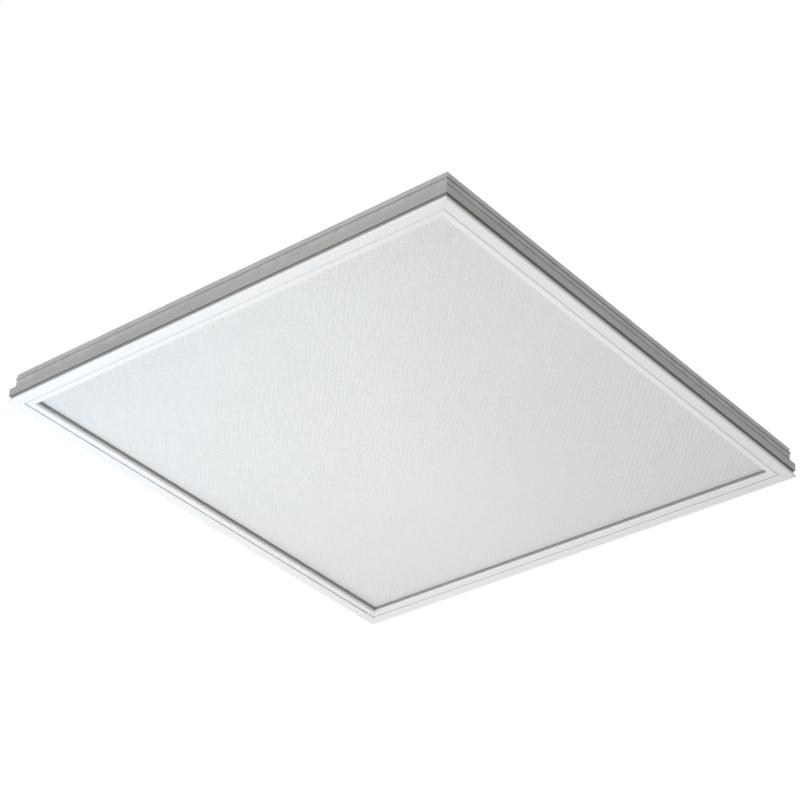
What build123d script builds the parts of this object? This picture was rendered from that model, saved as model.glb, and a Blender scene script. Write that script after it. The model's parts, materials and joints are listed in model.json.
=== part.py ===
from build123d import *

import os

os.makedirs("parts", exist_ok=True)

# Recessed troffer light, millimetres. Origin at the middle of the trim's underside, +Z up into the ceiling.
# The hinge of the lens door is on the +Y side. Section drawings use u, the distance inward from an outer
# face, and z. A ring is four mitred bars round the origin.

# ---- overall ----
unit_side = 595.0
body_top = 37.5
body_inset = 4.0
sheet = 1.0

# ---- white trim strips ----
trim_width = 12.0
trim_sheet = 1.2
trim_side_lip = 2.6
trim_inner_lip = 6.0
trim_radius = 0.5
mitre_gap = 0.12

# ---- lip rails (box section) ----
rail_trim_gap = 0.2
rail_top = 17.0
rail_wall = 1.5
rail_groove = 7.6
rail_groove_depth = 1.8
rail_radius = 0.4
key_clearance = 0.2
key_leg = 36.0
key_hole_inset = 22.0

# ---- housing pan ----
foot_width = 21.5
bead_low = 28.4
bead_height = 3.2
bead_depth = 0.9
pan_edge_radius = 3.0
pan_screw_inset = 9.0
pan_screw_pitch = 170.0
pan_screws_per_side = 3

# ---- lens door ----
door_gap = 0.8
door_face_width = 7.7
door_face_lift = 0.3
door_face_rake = 0.6
door_wall = 1.2
door_skin = 1.0
door_hollow_inset = 1.7
door_ledge_top = 6.0
door_height = 14.0
door_edge_radius = 1.5
door_key_leg = 30.0
gasket_thick = 1.5
gasket_edge = 0.5
lens_thick = 3.0
lens_setback = 4.2
clip_strip = 0.6
lens_clip_length = 14.0
lens_clip_reach = 6.5
lens_clip_spacing = 190.0

# ---- door hinge and catches ----
hinge_setback = 3.0
hinge_inset = 104.7
hinge_pin_radius = 1.0
hinge_running_clearance = 0.05
hinge_eye_radius = 1.6
hinge_arm_width = 10.0
hinge_arm_thick = 1.8
hinge_arm_setback = 1.6
hinge_tab_length = 11.0
hinge_side_clearance = 0.5
hinge_notch_clearance = 0.8
hinge_eye_clearance = 0.4
hinge_block_length = 9.0
hinge_floor = 1.2
hinge_block_drop = 0.2
tab_screw_inset = 6.6
catch_inset = 134.7
catch_width = 12.0
catch_strip = 0.6
catch_play = 0.3
catch_bottom = 12.2
catch_nose_radius = 0.9
catch_tab_length = 11.0

# ---- screws and rivets ----
screw_radius = 2.0
screw_head_radius = 3.4
screw_head_height = 2.0
small_screw_radius = 1.25
small_head_radius = 2.4
small_head_height = 1.4
cross_width = 0.8
screw_clearance = 0.2
rivet_radius = 2.4
rivet_head_radius = 4.2
rivet_head_height = 1.4
rivet_edge_radius = 1.1

# ---- light engine ----
board_count = 6
board_end_space = 25.5
board_width = 20.0
board_thick = 1.6
board_side_space = 73.5
lamps_per_board = 8
lamp_end_space = 37.0
lamp_side = 3.0
lamp_height = 0.8
optic_radius = 6.0
optic_rim = 1.0
optic_dome = 3.2
optic_pocket_clearance = 0.5
connector_length = 12.0
connector_width = 12.0
connector_height = 3.4
connector_overhang = 8.0
wire_radius = 0.7
wire_drop = 1.7
wire_spacing = 4.0
wire_row_offset = 4.0
wire_clearance = 0.05

# ---- reflector tray ----
reflector_sheet = 0.6
reflector_drop = 0.6
reflector_end_space = 6.0
reflector_mouth_inset = 17.5
reflector_rim = 4.0
optic_hole_clearance = 1.0

# ---- driver box on the pan ----
box_end_space = 7.0
box_width = 110.0
box_sheet = 0.9
cover_skirt = 6.5
cover_clearance = 0.4
cover_knuckle_radius = 3.0
cover_pin_radius = 1.5
cover_knuckle_length = 24.0
cover_knuckle_gap = 0.5
cover_knuckle_pitch = 200.0
cover_web = 1.8
box_screw_end = 22.0
box_screw_space = 3.9

# ---- driver, terminal block, wiring ----
driver_length = 170.0
driver_width = 42.0
driver_height = 24.0
driver_x = 8.0
driver_edge = 2.0
driver_foot = 12.0
driver_foot_thick = 1.5
block_gap = 6.0
block_depth = 30.0
block_height = 16.0
pole_pitch = 11.0
pole_count = 3
block_cheek = 2.4
block_port_radius = 2.2
block_port_height = 5.6
lever_length = 14.0
lever_thick = 3.0
lever_clearance = 0.3
lever_pivot_inset = 6.0
lever_trunnion_radius = 1.2
lever_trunnion_clearance = 0.05
lever_floor = 1.2
trunnion_wall = 1.0
contact_length = 15.0
contact_side = 4.0
supply_wire_radius = 1.1
wire_entry = 1.0
grommet_gap = 10.0
grommet_radius = 9.0
grommet_groove_radius = 7.0
grommet_bore = 5.4
grommet_flange = 1.6
grommet_under = 0.6
bushing_radius = 10.8
bushing_bore = 8.0
bushing_rim = 1.7
bushing_flange = 2.0
bushing_tail = 6.0
inlet_space_below = 1.0
inlet_space_above = 1.5
blank_dish = 1.2
earth_inset = 12.0
earth_y = 36.0
lug_thick = 1.0
lug_length = 8.0
lug_radius = 4.2
lug_clearance = 0.1

# ---- grid clips and hangers ----
grid_clip_x = 24.0
grid_clip_y = 190.0
grid_clip_length = 36.0
grid_clip_width = 12.0
grid_clip_thick = 1.2
grid_clip_finger = 8.0
hanger_inset = 55.0
hanger_width = 18.0
hanger_foot = 18.0
hanger_height = 20.0
hanger_thick = 1.2
hanger_hole_radius = 3.5

# ---- drawing aids ----
cut_past = 1.0
near = 0.01

# ---- worked out ----
unit_half = unit_side / 2
body_half = unit_half - body_inset
foot_top = rail_top + sheet
plate_under = body_top - sheet
flange_half = unit_half - trim_width
rail_width = trim_width - trim_sheet - rail_trim_gap
door_half = flange_half - door_gap
door_hollow_floor = door_face_lift + door_face_rake + door_skin
lens_half = door_half - lens_setback
gasket_width = door_face_width - lens_setback - gasket_edge
gasket_top = door_ledge_top + gasket_thick
lens_top = gasket_top + lens_thick
hinge_y = door_half - hinge_setback
hinge_height = hinge_floor + hinge_eye_clearance + hinge_eye_radius
hinge_screw_y = door_half - hinge_arm_setback - tab_screw_inset
catch_wall_y = -door_half + door_wall + catch_play
catch_strip_y = catch_wall_y + catch_nose_radius
catch_screw_y = catch_strip_y + tab_screw_inset
board_under = plate_under - board_thick
board_length = 2 * (body_half - board_end_space)
board_pitch = 2 * (body_half - board_side_space) / (board_count - 1)
lamp_pitch = (board_length - 2 * lamp_end_space) / (lamps_per_board - 1)
connector_x0 = board_length / 2 + connector_overhang - connector_length
connector_x1 = connector_x0 + connector_length
reflector_top = board_under - reflector_drop
reflector_half = connector_x0 - reflector_end_space
driver_x0 = driver_x - driver_length / 2
driver_x1 = driver_x + driver_length / 2
output_wire_x = driver_x1 + driver_foot + grommet_gap + grommet_radius
box_length = 2 * (output_wire_x + grommet_radius + box_end_space)
bushing_flange_radius = bushing_radius + bushing_rim
inlet_z = body_top + inlet_space_below + bushing_flange_radius
box_top = inlet_z + bushing_flange_radius + inlet_space_above + cover_skirt
box_floor = body_top + box_sheet
cover_hinge_y = box_width / 2 + cover_clearance + cover_knuckle_radius
cover_hinge_z = box_top - cover_knuckle_radius
block_x1 = driver_x0 - driver_foot - block_gap
block_x0 = block_x1 - block_depth
block_x = (block_x0 + block_x1) / 2
block_top = box_floor + block_height
port_z = box_floor + block_port_height
lever_pivot_x = block_x0 + lever_pivot_inset
lever_pivot_z = block_top - lever_thick / 2
lever_width = pole_pitch - block_cheek - 2 * lever_clearance
block_half = (pole_pitch * pole_count + block_cheek) / 2
box_screw_x = box_length / 2 - box_screw_end
box_screw_y = block_half + box_screw_space + screw_head_radius
earth_x = -box_length / 2 + earth_inset
rivet_z = body_top + grid_clip_thick
key_low = rail_groove + rail_wall + key_clearance
key_high = rail_top - rail_wall - key_clearance
key_u0 = rail_wall + key_clearance
key_u1 = rail_width - rail_wall - key_clearance
side_names = ("front", "right", "back", "left")
sides = {name: 360 * number / len(side_names) for number, name in enumerate(side_names)}


def block(x0, x1, y0, y1, z0, z1):
    """A box between two corners."""
    middle = Pos((x0 + x1) / 2, (y0 + y1) / 2, (z0 + z1) / 2)
    return middle * Box(abs(x1 - x0), abs(y1 - y0), abs(z1 - z0))


def post(x, y, z0, z1, radius):
    """An upright cylinder."""
    return Pos(x, y, (z0 + z1) / 2) * Cylinder(radius, z1 - z0)


def rod(start, end, radius):
    """A cylinder from one point to another."""
    start, end = Vector(*start), Vector(*end)
    run = end - start
    foot = (Align.CENTER, Align.CENTER, Align.MIN)
    return Plane(origin=start, z_dir=run) * Cylinder(radius, run.length, align=foot)


def hole(x, y, z0, z1, radius):
    """An upright cylinder that cuts from z0 to z1 and a little past both."""
    return post(x, y, z0 - cut_past, z1 + cut_past, radius)


def bore(x0, x1, y, z, radius):
    """A cylinder along X that cuts from x0 to x1 and a little past both."""
    return rod((x0 - cut_past, y, z), (x1 + cut_past, y, z), radius)


def section(points):
    """A face from its corners."""
    return make_face(Polyline(*points, close=True))


def bar(face, half, gap=0.0):
    """A front bar of a ring: the section drawn in (u, z), with mitred ends."""
    start = Plane(origin=(-half, -half, 0), x_dir=(0, 1, 0), z_dir=(1, 0, 0))
    straight = extrude(start * face, amount=2 * half)
    reach = 2 * half
    wedge = make_face(Polyline((0, 0), (reach, -reach), (-reach, -reach), close=True))
    wedge = Pos(0, -gap, -body_top) * extrude(wedge, amount=4 * body_top)
    return straight & wedge


def turned(shape, degrees):
    """The shape turned about the vertical axis through the origin."""
    return Rot(0, 0, degrees) * shape


def ring(face, half):
    """Four mitred bars as one piece."""
    front = bar(face, half)
    whole = front
    for degrees in (90, 180, 270):
        whole += turned(front, degrees)
    return whole


def group(pieces):
    """Separate solids in one node."""
    return Compound(children=[solid for piece in pieces for solid in piece.solids()])


def pan_head_screw(shank, radius, head_radius, head_height):
    """A screw with its head's seat at z = 0 and its shank down to -shank."""
    screw = post(0, 0, -shank, 0, radius) + post(0, 0, 0, head_height, head_radius)
    screw = fillet(screw.edges().group_by(Axis.Z)[-1], head_height / 3)
    slot_low = head_height / 2
    for degrees in (0, 90):
        arm = head_radius / 2
        slot = block(-arm, arm, -cross_width / 2, cross_width / 2, slot_low, head_height)
        screw -= turned(slot, degrees)
    return screw


def dome_rivet(shank):
    """A rivet with its head's seat at z = 0 and its shank down to -shank."""
    rivet = post(0, 0, -shank, 0, rivet_radius) + post(0, 0, 0, rivet_head_height, rivet_head_radius)
    return fillet(rivet.edges().group_by(Axis.Z)[-1], rivet_edge_radius)


def save(name, shape):
    export_step(shape, f"parts/{name}.step")


# ---- places that several pieces share ----
pan_screw_row = [(i - (pan_screws_per_side - 1) / 2) * pan_screw_pitch for i in range(pan_screws_per_side)]
pan_screw_places = [
    (degrees, x, -unit_half + pan_screw_inset) for degrees in sides.values() for x in pan_screw_row
]
board_rows = [(i - (board_count - 1) / 2) * board_pitch for i in range(board_count)]
lamp_row = [(i - (lamps_per_board - 1) / 2) * lamp_pitch for i in range(lamps_per_board)]
lamp_places = [(x, y) for y in board_rows for x in lamp_row]
lamp_gaps = [(x + following) / 2 for x, following in zip(lamp_row, lamp_row[1:])]
board_screw_row = (lamp_gaps[0], lamp_gaps[len(lamp_gaps) // 2], lamp_gaps[-1])
board_screw_places = [(x, y) for y in board_rows for x in board_screw_row]
hinge_at = door_half - hinge_inset
catch_at = door_half - catch_inset
hinge_places = (-hinge_at, hinge_at)
catch_places = (-catch_at, catch_at)
grid_clip_places = {
    "grid_clip_1": (-1, -1),
    "grid_clip_2": (1, -1),
    "grid_clip_3": (1, 1),
    "grid_clip_4": (-1, 1),
}
grid_pivot_x = body_half - grid_clip_x
hanger_at = body_half - hanger_inset
hanger_places = [(sx * hanger_at, sy * hanger_at) for sx in (-1, 1) for sy in (-1, 1)]
pole_rows = [(i - (pole_count - 1) / 2) * pole_pitch for i in range(pole_count)]
wire_y = {"positive": wire_row_offset, "negative": -wire_row_offset}
wire_x = {
    "positive": connector_x0 + (connector_length - wire_spacing) / 2,
    "negative": connector_x0 + (connector_length + wire_spacing) / 2,
}
wire_bus_z = board_under - wire_drop
wire_feed_z = reflector_top + wire_radius + wire_clearance
wire_out_z = box_floor + driver_height / 2
driver_screw_places = (driver_x0 - driver_foot / 2, driver_x1 + driver_foot / 2)
box_screw_places = [(sx * box_screw_x, sy * box_screw_y) for sx in (-1, 1) for sy in (-1, 1)]
cover_knuckles = (-cover_knuckle_pitch / 2, cover_knuckle_pitch / 2)
knuckle_step = cover_knuckle_length + cover_knuckle_gap
box_knuckles = [x + side * knuckle_step for x in cover_knuckles for side in (-1, 1)]


# ---- trim and lip rails ----
def trim_strip():
    points = (
        (0, 0),
        (trim_width, 0),
        (trim_width, trim_inner_lip),
        (trim_width - trim_sheet, trim_inner_lip),
        (trim_width - trim_sheet, trim_sheet),
        (trim_sheet, trim_sheet),
        (trim_sheet, trim_side_lip),
        (0, trim_side_lip),
    )
    face = section(points)
    outer = face.vertices().filter_by_position(Axis.Y, -near, near)
    return bar(fillet(outer, trim_radius), unit_half, mitre_gap / 2)


def rail_section():
    outline = (
        (rail_groove_depth, trim_sheet),
        (rail_width, trim_sheet),
        (rail_width, rail_top),
        (0, rail_top),
        (0, rail_groove),
        (rail_groove_depth, rail_groove),
    )
    inner = rail_groove_depth + rail_wall
    hollow = (
        (inner, trim_sheet + rail_wall),
        (rail_width - rail_wall, trim_sheet + rail_wall),
        (rail_width - rail_wall, rail_top - rail_wall),
        (rail_wall, rail_top - rail_wall),
        (rail_wall, rail_groove + rail_wall),
        (inner, rail_groove + rail_wall),
    )
    face = section(outline)
    left = face.vertices().filter_by_position(Axis.X, -near, near)
    return fillet(left, rail_radius) - section(hollow)


def front_rail():
    rail = bar(rail_section(), unit_half, mitre_gap / 2)
    low, y = rail_top - 2 * rail_wall, -unit_half + pan_screw_inset
    for x in pan_screw_row:
        rail -= post(x, y, low, rail_top + cut_past, screw_radius)
    for side in (-1, 1):
        x = side * (unit_half - key_hole_inset)
        y = -unit_half + (key_u0 + key_u1) / 2
        rail -= hole(x, y, rail_top - rail_wall, rail_top, small_screw_radius)
    return rail


def corner_key():
    """The key in the front left corner, in both rails' hollows."""
    x0, x1 = -unit_half + key_u0, -unit_half + key_u1
    key = block(x0, x0 + key_leg, x0, x1, key_low, key_high)
    key += block(x0, x1, x0, x0 + key_leg, key_low, key_high)
    middle = (x0 + x1) / 2
    for x, y in ((-unit_half + key_hole_inset, middle), (middle, -unit_half + key_hole_inset)):
        key -= hole(x, y, key_low, key_high, small_screw_radius)
    return key


def rail_screws():
    """Two flush screws through the rails into each corner key."""
    shank = rail_top - key_low
    screw = post(0, 0, -shank, 0, small_screw_radius)
    middle = -unit_half + (key_u0 + key_u1) / 2
    corner = [
        Pos(-unit_half + key_hole_inset, middle, rail_top) * screw,
        Pos(middle, -unit_half + key_hole_inset, rail_top) * screw,
    ]
    return [turned(piece, degrees) for degrees in sides.values() for piece in corner]


# ---- housing pan ----
def pan_section():
    """The pan's wall and foot, drawn from the unit's outer face."""
    out, inn = body_inset, body_inset + sheet
    bead_mid = bead_low + bead_height / 2
    slope = bead_height / 4
    outer = (
        (out + foot_width - sheet, rail_top),
        (out, rail_top),
        (out, bead_low),
        (out - bead_depth, bead_low + slope),
        (out - bead_depth, bead_mid + slope),
        (out, bead_low + bead_height),
        (out, body_top),
        (out + foot_width, body_top),
    )
    inner = (
        (out + foot_width, plate_under),
        (inn, plate_under),
        (inn, bead_low + bead_height),
        (inn - bead_depth, bead_mid + slope),
        (inn - bead_depth, bead_low + slope),
        (inn, bead_low),
        (inn, foot_top),
        (out + foot_width - sheet, foot_top),
    )
    face = section(outer + inner)
    corner = face.vertices().filter_by_position(Axis.X, out - near, out + near)
    corner = corner.filter_by_position(Axis.Y, body_top - near, body_top + near)
    return fillet(corner, pan_edge_radius)


def housing_pan():
    plate_half = body_half - foot_width + sheet
    pan = ring(pan_section(), unit_half)
    pan += block(-plate_half, plate_half, -plate_half, plate_half, plate_under, body_top)
    for degrees, x, y in pan_screw_places:
        pan -= turned(hole(x, y, rail_top, foot_top, screw_radius + screw_clearance), degrees)
    for x, y in board_screw_places:
        pan -= hole(x, y, plate_under, body_top, small_screw_radius)
    for sx, sy in grid_clip_places.values():
        pan -= hole(sx * grid_pivot_x, sy * grid_clip_y, plate_under, body_top, rivet_radius)
    for x, y in hanger_places:
        pan -= hole(x, y, plate_under, body_top, rivet_radius)
    pan -= hole(output_wire_x, 0, plate_under, body_top, grommet_groove_radius)
    for x, y in box_screw_places:
        pan -= hole(x, y, plate_under, body_top, screw_radius)
    for x in hinge_places:
        pan -= post(x, hinge_screw_y, rail_top, foot_top, small_screw_radius)
    for x in catch_places:
        pan -= post(x, catch_screw_y, rail_top, foot_top, small_screw_radius)
    return pan


def pan_screws():
    screw = pan_head_screw(sheet + 2 * rail_wall, screw_radius, screw_head_radius, screw_head_height)
    return [turned(Pos(x, y, foot_top) * screw, degrees) for degrees, x, y in pan_screw_places]


# ---- lens door ----
def door_section():
    rake = door_face_lift + door_face_rake
    outline = (
        (0, door_face_lift),
        (door_face_width, rake),
        (door_face_width, door_ledge_top),
        (door_wall, door_ledge_top),
        (door_wall, door_height),
        (0, door_height),
    )
    hollow = (
        (door_hollow_inset, door_hollow_floor),
        (door_face_width - door_wall, door_hollow_floor),
        (door_face_width - door_wall, door_ledge_top - door_wall),
        (door_hollow_inset, door_ledge_top - door_wall),
    )
    face = section(outline)
    corner = face.vertices().sort_by_distance(Vertex(0, door_face_lift))[0]
    face = fillet(corner, door_edge_radius)
    return face - section(hollow)


def door_rail(side):
    """One door rail, drawn at the front and turned to its side by the caller."""
    rail = bar(door_section(), door_half, mitre_gap / 2)
    if side == "back":
        for x in hinge_places:
            rail = with_hinge_seat(rail, x)
    return rail


def with_hinge_seat(rail, x):
    """Bearing blocks on both sides of a notch for the hinge arm."""
    face_y = -door_half
    notch = hinge_arm_width / 2 + hinge_side_clearance
    seat = notch + hinge_block_length
    back_y = face_y + door_face_width - door_wall / 2
    top = door_ledge_top - hinge_block_drop
    rail += block(x - seat, x + seat, face_y + door_wall / 2, back_y, hinge_floor, top)
    depth = hinge_setback + hinge_eye_radius + hinge_notch_clearance
    top = door_height + cut_past
    rail -= block(x - notch, x + notch, face_y - cut_past, face_y + depth, hinge_floor, top)
    clear = hinge_pin_radius + hinge_running_clearance
    return rail - bore(x - seat, x + seat, face_y + hinge_setback, hinge_height, clear)


def door_corner_key():
    """The key in the front left corner of the door, in both rails' hollows."""
    u0 = door_hollow_inset + key_clearance
    u1 = door_face_width - door_wall - key_clearance
    z0 = door_hollow_floor + key_clearance / 2
    z1 = door_ledge_top - door_wall - key_clearance / 2
    x0, x1 = -door_half + u0, -door_half + u1
    return block(x0, x0 + door_key_leg, x0, x1, z0, z1) + block(x0, x1, x0, x0 + door_key_leg, z0, z1)


def lens():
    return block(-lens_half, lens_half, -lens_half, lens_half, gasket_top, lens_top)


def lens_gasket():
    points = (
        (0, door_ledge_top),
        (gasket_width, door_ledge_top),
        (gasket_width, gasket_top),
        (0, gasket_top),
    )
    return ring(section(points), lens_half)


def lens_clips():
    """Eight spring strips that hold the lens on its gasket, two to a side."""
    wall = -door_half + door_wall
    low, high = lens_top, door_height - clip_strip
    pieces = []
    for degrees in sides.values():
        for x in (-lens_clip_spacing / 2, lens_clip_spacing / 2):
            x0, x1 = x - lens_clip_length / 2, x + lens_clip_length / 2
            upright = block(x0, x1, wall, wall + clip_strip, low, high)
            foot = block(x0, x1, wall, wall + lens_clip_reach, low, low + clip_strip)
            pieces.append(turned(upright + foot, degrees))
    return pieces


# ---- door hinges and catches ----
def hinge_bracket(x):
    """A steel arm that hangs from the pan's foot and ends in an eye on the door's hinge axis."""
    outer = door_half - hinge_arm_setback
    x0, x1 = x - hinge_arm_width / 2, x + hinge_arm_width / 2
    arm = block(x0, x1, outer - hinge_arm_thick, outer, hinge_height, rail_top)
    arm += block(x0, x1, outer - hinge_tab_length, outer, rail_top - hinge_arm_thick, rail_top)
    arm += rod((x0, hinge_y, hinge_height), (x1, hinge_y, hinge_height), hinge_eye_radius)
    arm -= bore(x0, x1, hinge_y, hinge_height, hinge_pin_radius + hinge_running_clearance)
    return arm - hole(x, hinge_screw_y, rail_top - hinge_arm_thick, rail_top, small_screw_radius)


def hinge_pin(x):
    reach = hinge_arm_width / 2 + hinge_side_clearance + hinge_block_length
    return rod((x - reach, hinge_y, hinge_height), (x + reach, hinge_y, hinge_height), hinge_pin_radius)


def bracket_screws():
    """Screws from below that hold the hinge brackets and the catches on the pan's foot."""
    rows = (
        (hinge_places, hinge_screw_y, hinge_arm_thick),
        (catch_places, catch_screw_y, catch_strip),
    )
    pieces = []
    for places, y, thick in rows:
        screw = pan_head_screw(thick + sheet, small_screw_radius, small_head_radius, small_head_height)
        for x in places:
            pieces.append(Pos(x, y, rail_top - thick) * Rot(180, 0, 0) * screw)
    return pieces


def door_catch(x):
    """A spring strip with a rounded nose beside the door's upstand."""
    x0, x1 = x - catch_width / 2, x + catch_width / 2
    y0 = catch_strip_y
    catch = block(x0, x1, y0, y0 + catch_strip, catch_bottom, rail_top)
    catch += block(x0, x1, y0, y0 + catch_tab_length, rail_top - catch_strip, rail_top)
    nose_z = catch_bottom + catch_nose_radius
    nose = rod((x0, y0, nose_z), (x1, y0, nose_z), catch_nose_radius)
    catch += nose & block(x0, x1, catch_wall_y, y0, 0, rail_top)
    return catch - hole(x, catch_screw_y, rail_top - catch_strip, rail_top, small_screw_radius)


# ---- light engine ----
def led_board(y):
    x1, half = board_length / 2, board_width / 2
    board = block(-x1, x1, y - half, y + half, board_under, plate_under)
    for x in board_screw_row:
        board -= hole(x, y, board_under, plate_under, small_screw_radius + screw_clearance)
    return board


def led_packages():
    half = lamp_side / 2
    lamp = block(-half, half, -half, half, board_under - lamp_height, board_under)
    return [Pos(x, y, 0) * lamp for x, y in lamp_places]


def optic():
    """A domed optic, its flat rim on the board and a pocket for the lamp, at the origin."""
    base = post(0, 0, -optic_rim, 0, optic_radius)
    ball_radius = (optic_radius**2 + optic_dome**2) / (2 * optic_dome)
    ball = Pos(0, 0, -optic_rim - optic_dome + ball_radius) * Sphere(ball_radius)
    dome = ball & post(0, 0, -optic_rim - optic_dome, -optic_rim, optic_radius)
    pocket = lamp_side / 2 + optic_pocket_clearance
    return base + dome - block(-pocket, pocket, -pocket, pocket, -lamp_height - optic_pocket_clearance, 0)


def board_screws():
    shank = board_thick + sheet
    screw = pan_head_screw(shank, small_screw_radius, small_head_radius, small_head_height)
    return [Pos(x, y, board_under) * Rot(180, 0, 0) * screw for x, y in board_screw_places]


def board_connector(y):
    """A plug under the board's end, with a hole for each wire."""
    half = connector_width / 2
    plug = block(connector_x0, connector_x1, y - half, y + half, board_under - connector_height, board_under)
    for x in wire_x.values():
        start = (x, y - half - cut_past, wire_bus_z)
        plug -= rod(start, (x, y + half + cut_past, wire_bus_z), wire_radius + wire_clearance)
    return plug


def led_wire(name):
    """From the driver down through the grommet, along under the pan and past every board's end."""
    x, y = wire_x[name], wire_y[name]
    points = (
        (driver_x1 - wire_entry, y, wire_out_z),
        (output_wire_x, y, wire_out_z),
        (output_wire_x, y, wire_feed_z),
        (x, y, wire_feed_z),
        (x, y, wire_bus_z),
    )
    wire = rod(points[0], points[1], wire_radius)
    for start, end in zip(points[1:], points[2:]):
        wire += rod(start, end, wire_radius) + Pos(*start) * Sphere(wire_radius)
    reach = board_rows[-1] + connector_width / 2
    return wire + rod((x, -reach, wire_bus_z), (x, reach, wire_bus_z), wire_radius)


def reflector_tray():
    """A white tray: a flat top with a hole for each optic and four sloping sides on the pan's foot."""
    start = unit_half - reflector_half
    mouth = reflector_mouth_inset
    low = foot_top + reflector_sheet
    points = (
        (start, reflector_top),
        (start, reflector_top - reflector_sheet),
        (mouth + reflector_sheet, low),
        (mouth + reflector_sheet, foot_top),
        (mouth - reflector_rim, foot_top),
        (mouth - reflector_rim, low),
        (mouth, low),
        (start - reflector_sheet, reflector_top),
    )
    tray = ring(section(points), unit_half)
    half, under = reflector_half, reflector_top - reflector_sheet
    tray += block(-half, half, -half, half, under, reflector_top)
    for x, y in lamp_places:
        tray -= hole(x, y, under, reflector_top, optic_radius + optic_hole_clearance)
    for x, y in board_screw_places:
        tray -= hole(x, y, under, reflector_top, small_head_radius + optic_hole_clearance)
    return tray


# ---- driver box ----
def driver_box():
    x, y = box_length / 2, box_width / 2
    inner_x, inner_y = x - box_sheet, y - box_sheet
    box = block(-x, x, -y, y, body_top, box_top)
    box -= block(-inner_x, inner_x, -inner_y, inner_y, box_floor, box_top + cut_past)
    box -= bore(-x, -inner_x, 0, inlet_z, bushing_radius)
    box -= bore(inner_x, x, 0, inlet_z, bushing_radius)
    box -= hole(output_wire_x, 0, body_top, box_floor, grommet_groove_radius)
    for px, py in box_screw_places:
        box -= hole(px, py, body_top, box_floor, screw_radius + screw_clearance)
    for px in driver_screw_places:
        box -= hole(px, 0, body_top, box_floor, small_screw_radius)
    box -= hole(earth_x, earth_y, body_top, box_floor, screw_radius)
    for kx in box_knuckles:
        box += box_knuckle(kx)
    return box


def knuckle(x, web):
    """A hinge barrel with its web, bored for the pin."""
    x0, x1 = x - cover_knuckle_length / 2, x + cover_knuckle_length / 2
    barrel = rod((x0, cover_hinge_y, cover_hinge_z), (x1, cover_hinge_y, cover_hinge_z), cover_knuckle_radius)
    clear = cover_pin_radius + hinge_running_clearance
    return barrel + web - bore(x0, x1, cover_hinge_y, cover_hinge_z, clear)


def box_knuckle(x):
    """A barrel whose web goes back to the box's wall."""
    x0, x1 = x - cover_knuckle_length / 2, x + cover_knuckle_length / 2
    wall = box_width / 2 - box_sheet
    return knuckle(x, block(x0, x1, wall, cover_hinge_y, cover_hinge_z - cover_web, cover_hinge_z))


def lid_knuckle(x):
    """A barrel whose web goes up to the cover's plate."""
    x0, x1 = x - cover_knuckle_length / 2, x + cover_knuckle_length / 2
    lid_top = box_top + box_sheet
    web = block(x0, x1, box_width / 2 - box_sheet, cover_hinge_y, box_top, lid_top)
    near_y, far_y = cover_hinge_y - cover_web / 2, cover_hinge_y + cover_web / 2
    web += block(x0, x1, near_y, far_y, cover_hinge_z, lid_top)
    return knuckle(x, web)


def driver_box_cover():
    """A lid on the box's walls, with skirts on the front and both ends."""
    x, y = box_length / 2 + cover_clearance, box_width / 2 + cover_clearance
    ox, oy = x + box_sheet, y + box_sheet
    low = box_top - cover_skirt
    back = box_width / 2
    cover = block(-ox, ox, -oy, back, box_top, box_top + box_sheet)
    cover += block(-ox, ox, -oy, -y, low, box_top + box_sheet)
    cover += block(-ox, -x, -oy, back, low, box_top + box_sheet)
    cover += block(x, ox, -oy, back, low, box_top + box_sheet)
    for kx in cover_knuckles:
        cover += lid_knuckle(kx)
    return cover


def cover_hinge_pins():
    reach = knuckle_step + cover_knuckle_length / 2
    pin = rod((-reach, cover_hinge_y, cover_hinge_z), (reach, cover_hinge_y, cover_hinge_z), cover_pin_radius)
    return [Pos(x, 0, 0) * pin for x in cover_knuckles]


def box_screws():
    """The screws that hold the box on the pan."""
    screw = pan_head_screw(box_sheet + sheet, screw_radius, screw_head_radius, screw_head_height)
    return [Pos(x, y, box_floor) * screw for x, y in box_screw_places]


def led_driver():
    half = driver_width / 2
    case = block(driver_x0, driver_x1, -half, half, box_floor, box_floor + driver_height)
    upper = case.edges().filter_by(Axis.X).group_by(Axis.Z)[-1]
    case = fillet(upper, driver_edge)
    reach, foot_seat = driver_foot, box_floor + driver_foot_thick
    case += block(driver_x0 - reach, driver_x1 + reach, -reach, reach, box_floor, foot_seat)
    for x in driver_screw_places:
        case -= hole(x, 0, box_floor, foot_seat, small_screw_radius + screw_clearance)
    for y in wire_y.values():
        start = (driver_x1 - wire_entry, y, wire_out_z)
        case -= rod(start, (driver_x1 + cut_past, y, wire_out_z), wire_radius + wire_clearance)
    return case


def driver_screws():
    shank = driver_foot_thick + box_sheet
    screw = pan_head_screw(shank, small_screw_radius, small_head_radius, small_head_height)
    return [Pos(x, 0, box_floor + driver_foot_thick) * screw for x in driver_screw_places]


# ---- terminal block ----
def terminal_block():
    half = block_half
    body = block(block_x0, block_x1, -half, half, box_floor, block_top)
    slot_half = lever_width / 2 + lever_clearance
    slot_floor = block_top - lever_thick - lever_floor
    slot_x1 = lever_pivot_x + lever_length + lever_clearance + lever_thick
    for y in pole_rows:
        y0, y1 = y - slot_half, y + slot_half
        body -= block(block_x0 - cut_past, slot_x1, y0, y1, slot_floor, block_top + cut_past)
        body -= bore(block_x0, block_x1, y, port_z, block_port_radius)
        body -= contact(y, contact_side + wire_clearance)
    return body - lever_rod(0, half - trunnion_wall, lever_trunnion_radius + lever_trunnion_clearance)


def contact(y, side):
    """The space of one brass contact in the block."""
    half, reach = side / 2, contact_length / 2
    return block(block_x - reach, block_x + reach, y - half, y + half, port_z - half, port_z + half)


def terminal_contacts():
    clear = supply_wire_radius + wire_clearance
    return [contact(y, contact_side) - bore(block_x0, block_x1, y, port_z, clear) for y in pole_rows]


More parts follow.
